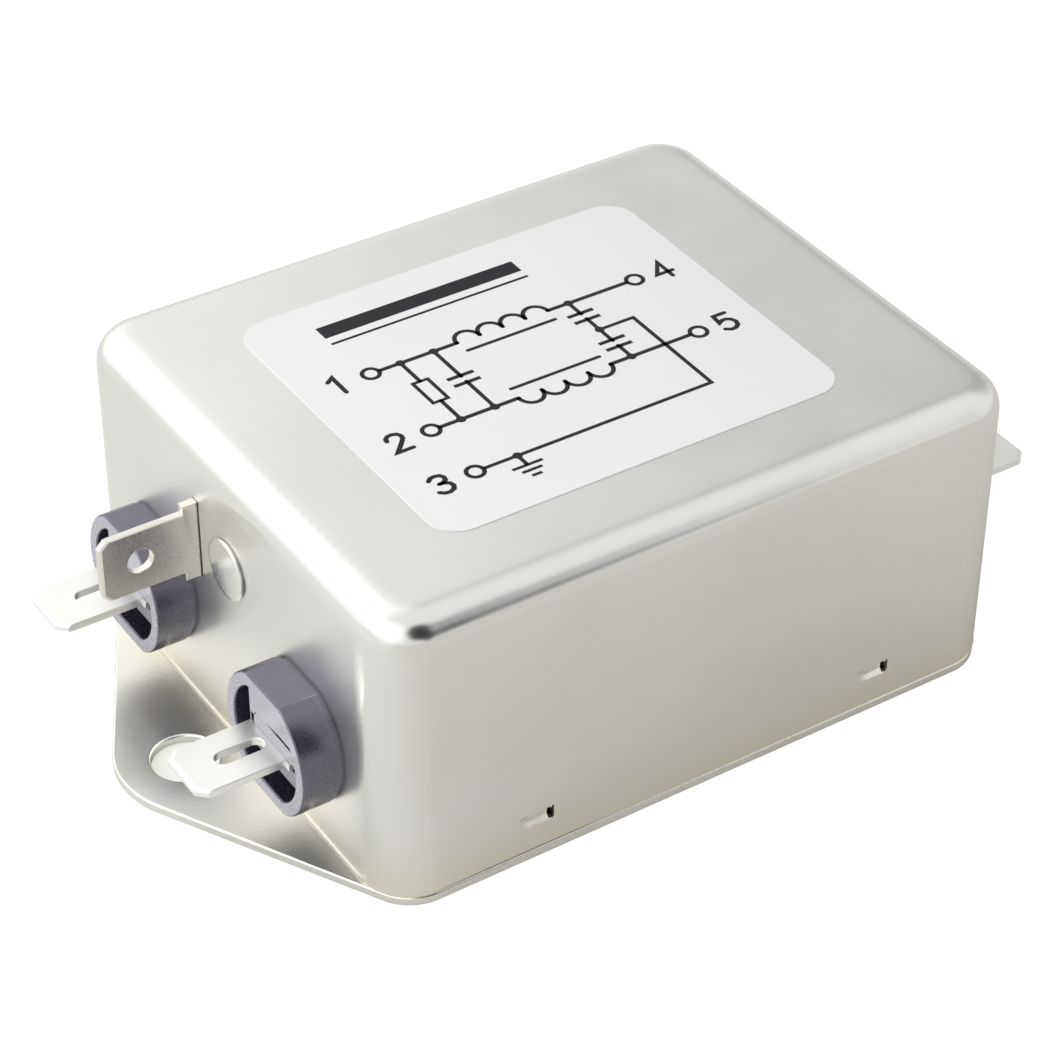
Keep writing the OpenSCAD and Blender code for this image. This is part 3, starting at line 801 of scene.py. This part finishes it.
LX, LY = (lb_lo[0] + lb_hi[0]) / 2, (lb_lo[1] + lb_hi[1]) / 2
lhx, lhy = (lb_hi[0] - lb_lo[0]) / 2, (lb_hi[1] - lb_lo[1]) / 2
bm = bmesh.new()
lab = [(x, y) for x, y, _, _ in round_rect(lhx, lhy, 3.0, nc=10, mx=4, my=4)]
slab(bm, lab, [], lb_lo[2], lb_hi[2], lambda u, v, t: (LX + u, LY + v, t), low=((0.0, 0.0),), high=bevel(0.04, 2))
finish_piece("label_sheet", bm, FILM, ("rating_label",), angle=36.0)

INK_T = 0.012
bm = bmesh.new()


def where_ink(u, v, t):
    return (LX + u, LY + v, lb_hi[2] + t)


def stroke(points, width=0.42, closed=False):
    """One printed line with round ends, as a thin closed strip."""
    pts = [Vector(p) for p in points]
    h = width / 2
    loop_l, loop_r = [], []
    n = len(pts)
    if closed:
        ring = [tuple(p) for p in pts]
        area = sum(ring[i - 1][0] * ring[i][1] - ring[i][0] * ring[i - 1][1] for i in range(n))
        if area < 0:
            ring.reverse()
        slab(bm, inset(ring, -h), [inset(ring, h)], -0.02, INK_T, where_ink)
        return
    for i in range(n):
        if i == 0:
            d = (pts[1] - pts[0]).normalized()
            m = Vector((-d.y, d.x)) * h
        elif i == n - 1:
            d = (pts[-1] - pts[-2]).normalized()
            m = Vector((-d.y, d.x)) * h
        else:
            d0, d1 = (pts[i] - pts[i - 1]).normalized(), (pts[i + 1] - pts[i]).normalized()
            n0, n1 = Vector((-d0.y, d0.x)), Vector((-d1.y, d1.x))
            s = (n0 + n1).normalized()
            m = s * (h / max(0.35, s.dot(n0)))
        loop_l.append(pts[i] + m)
        loop_r.append(pts[i] - m)
    d0 = (pts[0] - pts[1]).normalized()
    d1 = (pts[-1] - pts[-2]).normalized()
    a1, a0 = math.atan2(d1.y, d1.x), math.atan2(d0.y, d0.x)
    end = [pts[-1] + Vector((math.cos(a1 + w), math.sin(a1 + w))) * h for w in (-PI / 3, -PI / 6, 0, PI / 6, PI / 3)]
    begin = [pts[0] + Vector((math.cos(a0 + w), math.sin(a0 + w))) * h for w in (-PI / 3, -PI / 6, 0, PI / 6, PI / 3)]
    loop = loop_r + end + list(reversed(loop_l)) + begin
    slab(bm, [tuple(p) for p in loop], [], -0.02, INK_T, where_ink)


def bar(u0, v0, u1, v1):
    slab(bm, [(u0, v0), (u1, v0), (u1, v1), (u0, v1)], [], -0.02, INK_T, where_ink)


def coil(u0, v, bumps, r, up, width):
    for k in range(bumps):
        c = u0 + r + 2 * r * k
        stroke([(c + r * math.cos(PI - PI * i / 14), v + up * r * 1.1 * math.sin(PI * i / 14)) for i in range(15)], width)


DIGITS = {
    "1": [[(-0.55, 0.75), (0.1, 1.2), (0.1, -1.2)]],
    "2": [[(-0.7, 0.55), (-0.62, 0.9), (-0.3, 1.16), (0.1, 1.2), (0.5, 1.05), (0.7, 0.72), (0.66, 0.35), (0.35, -0.05), (-0.72, -1.2), (0.75, -1.2)]],
    "3": [[(-0.7, 0.85), (-0.4, 1.13), (0.0, 1.2), (0.45, 1.08), (0.66, 0.75), (0.58, 0.35), (0.2, 0.12), (-0.15, 0.1)],
          [(-0.15, 0.1), (0.3, 0.05), (0.66, -0.2), (0.76, -0.6), (0.55, -1.0), (0.1, -1.2), (-0.35, -1.15), (-0.72, -0.85)]],
    "4": [[(0.35, -1.2), (0.35, 1.2), (-0.78, -0.45), (0.82, -0.45)]],
    "5": [[(0.66, 1.2), (-0.5, 1.2), (-0.62, 0.1), (-0.2, 0.33), (0.2, 0.32), (0.58, 0.08), (0.76, -0.38), (0.62, -0.85), (0.22, -1.16), (-0.25, -1.2), (-0.7, -0.9)]],
}


def digit(ch, u, v, size=1.0, width=0.36):
    for line in DIGITS[ch]:
        stroke([(u + x * size, v + y * size) for x, y in line], width)


# heading rules
bar(-14.2, 12.4, 6.4, 14.2)
bar(-14.2, 11.2, 6.4, 11.5)
# the two lines, with the choke between them
VL, VN, VE = 5.6, -4.4, -11.4
U0, U1 = -13.6, 14.2
for v, up in ((VL, 1), (VN, -1)):
    coil(-4.8, v, 4, 1.2, up, 0.42)
    stroke([(U0 + 0.95, v), (-4.78, v)], 0.46)
    stroke([(4.78, v), (U1 - 0.95, v)], 0.46)
    for u in (U0, U1):
        stroke(circle(u, v, 0.78, 22), 0.40, closed=True)
stroke([(-4.6, VL - 1.5), (4.6, VL - 1.5)], 0.38)
stroke([(-4.6, VN + 1.5), (4.6, VN + 1.5)], 0.38)
mid_v = (VL + VN) / 2


def condenser(u, v_hi, v_lo):
    m = (v_hi + v_lo) / 2
    stroke([(u, v_hi), (u, m + 0.42)], 0.40)
    stroke([(u, v_lo), (u, m - 0.42)], 0.40)
    bar(u - 1.35, m + 0.36, u + 1.35, m + 0.80)
    bar(u - 1.35, m - 0.80, u + 1.35, m - 0.36)


condenser(-7.2, VL, VN)
condenser(7.0, VL, mid_v)
condenser(7.0, mid_v, VN)
# resistor
stroke([(-10.6, VL), (-10.6, mid_v + 1.7)], 0.40)
stroke([(-10.6, VN), (-10.6, mid_v - 1.7)], 0.40)
stroke([(-11.35, mid_v - 1.7), (-9.85, mid_v - 1.7), (-9.85, mid_v + 1.7), (-11.35, mid_v + 1.7)], 0.36, closed=True)
# earth line
stroke([(7.0, mid_v), (10.6, mid_v), (10.6, VE), (U0 + 0.95, VE)], 0.40)
stroke(circle(U0, VE, 0.78, 22), 0.40, closed=True)
stroke([(-9.4, VE), (-9.4, VE - 1.4)], 0.40)
for k, half in enumerate((1.5, 1.0, 0.5)):
    bar(-9.4 - half, VE - 1.7 - 0.75 * k, -9.4 + half, VE - 1.36 - 0.75 * k)
for u, v in ((-7.2, VL), (-7.2, VN), (7.0, VL), (7.0, VN), (7.0, mid_v), (-10.6, VL), (-10.6, VN), (-9.4, VE)):
    slab(bm, circle(u, v, 0.45, 16), [], -0.02, INK_T + 0.001, where_ink)
digit("1", -16.9, VL, 1.05, 0.44)
digit("2", -16.9, VN, 1.05, 0.44)
digit("3", -16.9, VE, 1.05, 0.44)
digit("4", 17.2, VL, 1.05, 0.44)
digit("5", 17.2, VN, 1.05, 0.44)
finish_piece("label_print", bm, INK, (), angle=40.0, weighted=False)

# ---------------------------------------------------------------- parts inside

INSIDE = {
    "insulating_tray": TRAY, "circuit_board": BOARD, "choke_core": FERRITE, "choke_winding_l": WIRE, "choke_winding_n": WIRE,
    "winding_divider": TRAY, "x_capacitor_line": CAP_BOX, "x_capacitor_load": CAP_BOX, "y_capacitor_l": DISC, "y_capacitor_n": DISC,
    "bleed_resistor": RESISTOR, "lead_line_l": LEAD_BROWN, "lead_line_n": LEAD_BLUE, "lead_load_l": LEAD_BROWN, "lead_load_n": LEAD_BLUE,
    "earth_lead": LEAD_EARTH,
}
for name, mat in INSIDE.items():
    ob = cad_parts[name]
    for s in ob.material_slots:
        s.material = mat
    if not ob.material_slots:
        ob.data.materials.append(mat)

# ---------------------------------------------------------------- floor


def plane(name, half, z):
    me = bpy.data.meshes.new(name)
    me.from_pydata([(-half, -half, z), (half, -half, z), (half, half, z), (-half, half, z)], [], [(0, 1, 2, 3)])
    ob = bpy.data.objects.new(name, me)
    bpy.context.scene.collection.objects.link(ob)
    return ob


floor = plane("floor", 6.0, -0.0001)
m = bpy.data.materials.new("floor")
m.use_nodes = True
t = Tree(m.node_tree)
out = t.node("ShaderNodeOutputMaterial")
p = t.node("ShaderNodeBsdfPrincipled")
p.inputs["Base Color"].default_value = (0.32, 0.32, 0.32, 1)
p.inputs["Roughness"].default_value = 0.9
p.inputs["Specular IOR Level"].default_value = 0.0
# painted shadow: the floor is paler everywhere but in the two small rounds under the bolt holes, where it is coloured
# darker and warmer as the shade seen through the holes
xyz = t.node("ShaderNodeSeparateXYZ")
t.link(t.stretch(t.node("ShaderNodeTexCoord").outputs["Object"], (1000.0, 1000.0, 1000.0)), xyz.inputs[0])
across = t.math("SUBTRACT", t.math("ABSOLUTE", xyz.outputs[0]), HOLE_X)
away = t.math("SQRT", t.math("ADD", t.math("MULTIPLY", across, across), t.math("MULTIPLY", xyz.outputs[1], xyz.outputs[1])))
t.link(t.mix(t.ramp(away, 3.2, 3.6), rgba((0.62, 0.61, 0.565)), rgba((0.90, 0.90, 0.90))), p.inputs["Emission Color"])
p.inputs["Emission Strength"].default_value = 1.0
clear = t.node("ShaderNodeBsdfTransparent")
geo = t.node("ShaderNodeNewGeometry")
mx = t.node("ShaderNodeMixShader")
t.link(geo.outputs["Backfacing"], mx.inputs[0])
t.link(p.outputs[0], mx.inputs[1])
t.link(clear.outputs[0], mx.inputs[2])
t.link(mx.outputs[0], out.inputs[0])
floor.data.materials.append(m)
floor.visible_glossy = False
floor.visible_diffuse = False
floor.visible_transmission = False

# what the part's own surfaces see of the table: a paper sweep with painted shade, coloured greyer towards the front
# where less light would fall
sweep = plane("paper_sweep", 1.2, -0.0004)
m = bpy.data.materials.new("paper_sweep")
m.use_nodes = True
t = Tree(m.node_tree)
out = t.node("ShaderNodeOutputMaterial")
p = t.node("ShaderNodeBsdfDiffuse")
co = t.stretch(t.node("ShaderNodeTexCoord").outputs["Object"], (1000.0, 1000.0, 1000.0))
d = t.node("ShaderNodeVectorMath", operation="DOT_PRODUCT")
t.link(co, d.inputs[0])
d.inputs[1].default_value = (0.62, -0.78, 0.0)
shade = t.mix(t.ramp(d.outputs["Value"], -30.0, 40.0), rgba((0.79, 0.79, 0.77)), rgba((0.68, 0.665, 0.63)))
t.link(shade, p.inputs["Color"])
t.link(p.outputs[0], out.inputs[0])
sweep.data.materials.append(m)
sweep.visible_camera = False

# ---------------------------------------------------------------- light

world = bpy.data.worlds.new("studio")
bpy.context.scene.world = world
world.use_nodes = True
t = Tree(world.node_tree)
out = t.node("ShaderNodeOutputWorld")
bg = t.node("ShaderNodeBackground")
t.link(bg.outputs[0], out.inputs[0])
direction = t.node("ShaderNodeTexCoord").outputs["Generated"]


def toward(azimuth, elevation):
    """Unit vector: azimuth counter-clockwise from +X, elevation above the floor, in degrees."""
    a, e = math.radians(azimuth), math.radians(elevation)
    return (math.cos(a) * math.cos(e), math.sin(a) * math.cos(e), math.sin(e))


def lobe(under, azimuth, elevation, inner, outer, colour, strength=1.0):
    """Soft round patch of light or dark in one direction."""
    d = t.node("ShaderNodeVectorMath", operation="DOT_PRODUCT")
    t.link(direction, d.inputs[0])
    d.inputs[1].default_value = toward(azimuth, elevation)
    f = t.ramp(d.outputs["Value"], math.cos(math.radians(outer)), math.cos(math.radians(inner)), 0.0, strength)
    return t.mix(f, under, rgba(colour))


z = t.node("ShaderNodeSeparateXYZ")
t.link(direction, z.inputs[0])
sky = t.mix(t.ramp(z.outputs[2], 0.0, 0.9), rgba((0.98, 0.98, 0.975)), rgba((1.02, 1.02, 1.02)))
sky = lobe(sky, 30, 30, 4, 38, (0.56, 0.56, 0.55))          # greyer to the right behind
sky = lobe(sky, 112, 36, 20, 50, (1.50, 1.50, 1.49))        # softbox behind on the left
sky = lobe(sky, -152, 34, 12, 40, (1.45, 1.45, 1.44))       # softbox in front on the left
sky = lobe(sky, -88, 33, 17, 28, (0.015, 0.015, 0.02), 0.98)  # the dark room behind the camera
sky = lobe(sky, -74, 14, 8, 16, (0.015, 0.015, 0.02), 0.96)  # and its lower corner
t.link(sky, bg.inputs["Color"])
bg.inputs["Strength"].default_value = 0.89


def softbox(name, at, to, size, power):
    d = bpy.data.lights.new(name, "AREA")
    d.shape = "RECTANGLE"
    d.size, d.size_y = size
    d.energy = power
    o = bpy.data.objects.new(name, d)
    bpy.context.scene.collection.objects.link(o)
    o.location = at
    o.rotation_mode = "QUATERNION"
    o.rotation_quaternion = (Vector(to) - Vector(at)).to_track_quat("-Z", "Y")
    return o


softbox("softbox_left", (-0.55, 0.10, 0.42), (0, 0, 0.01), (0.5, 0.4), 1.2)
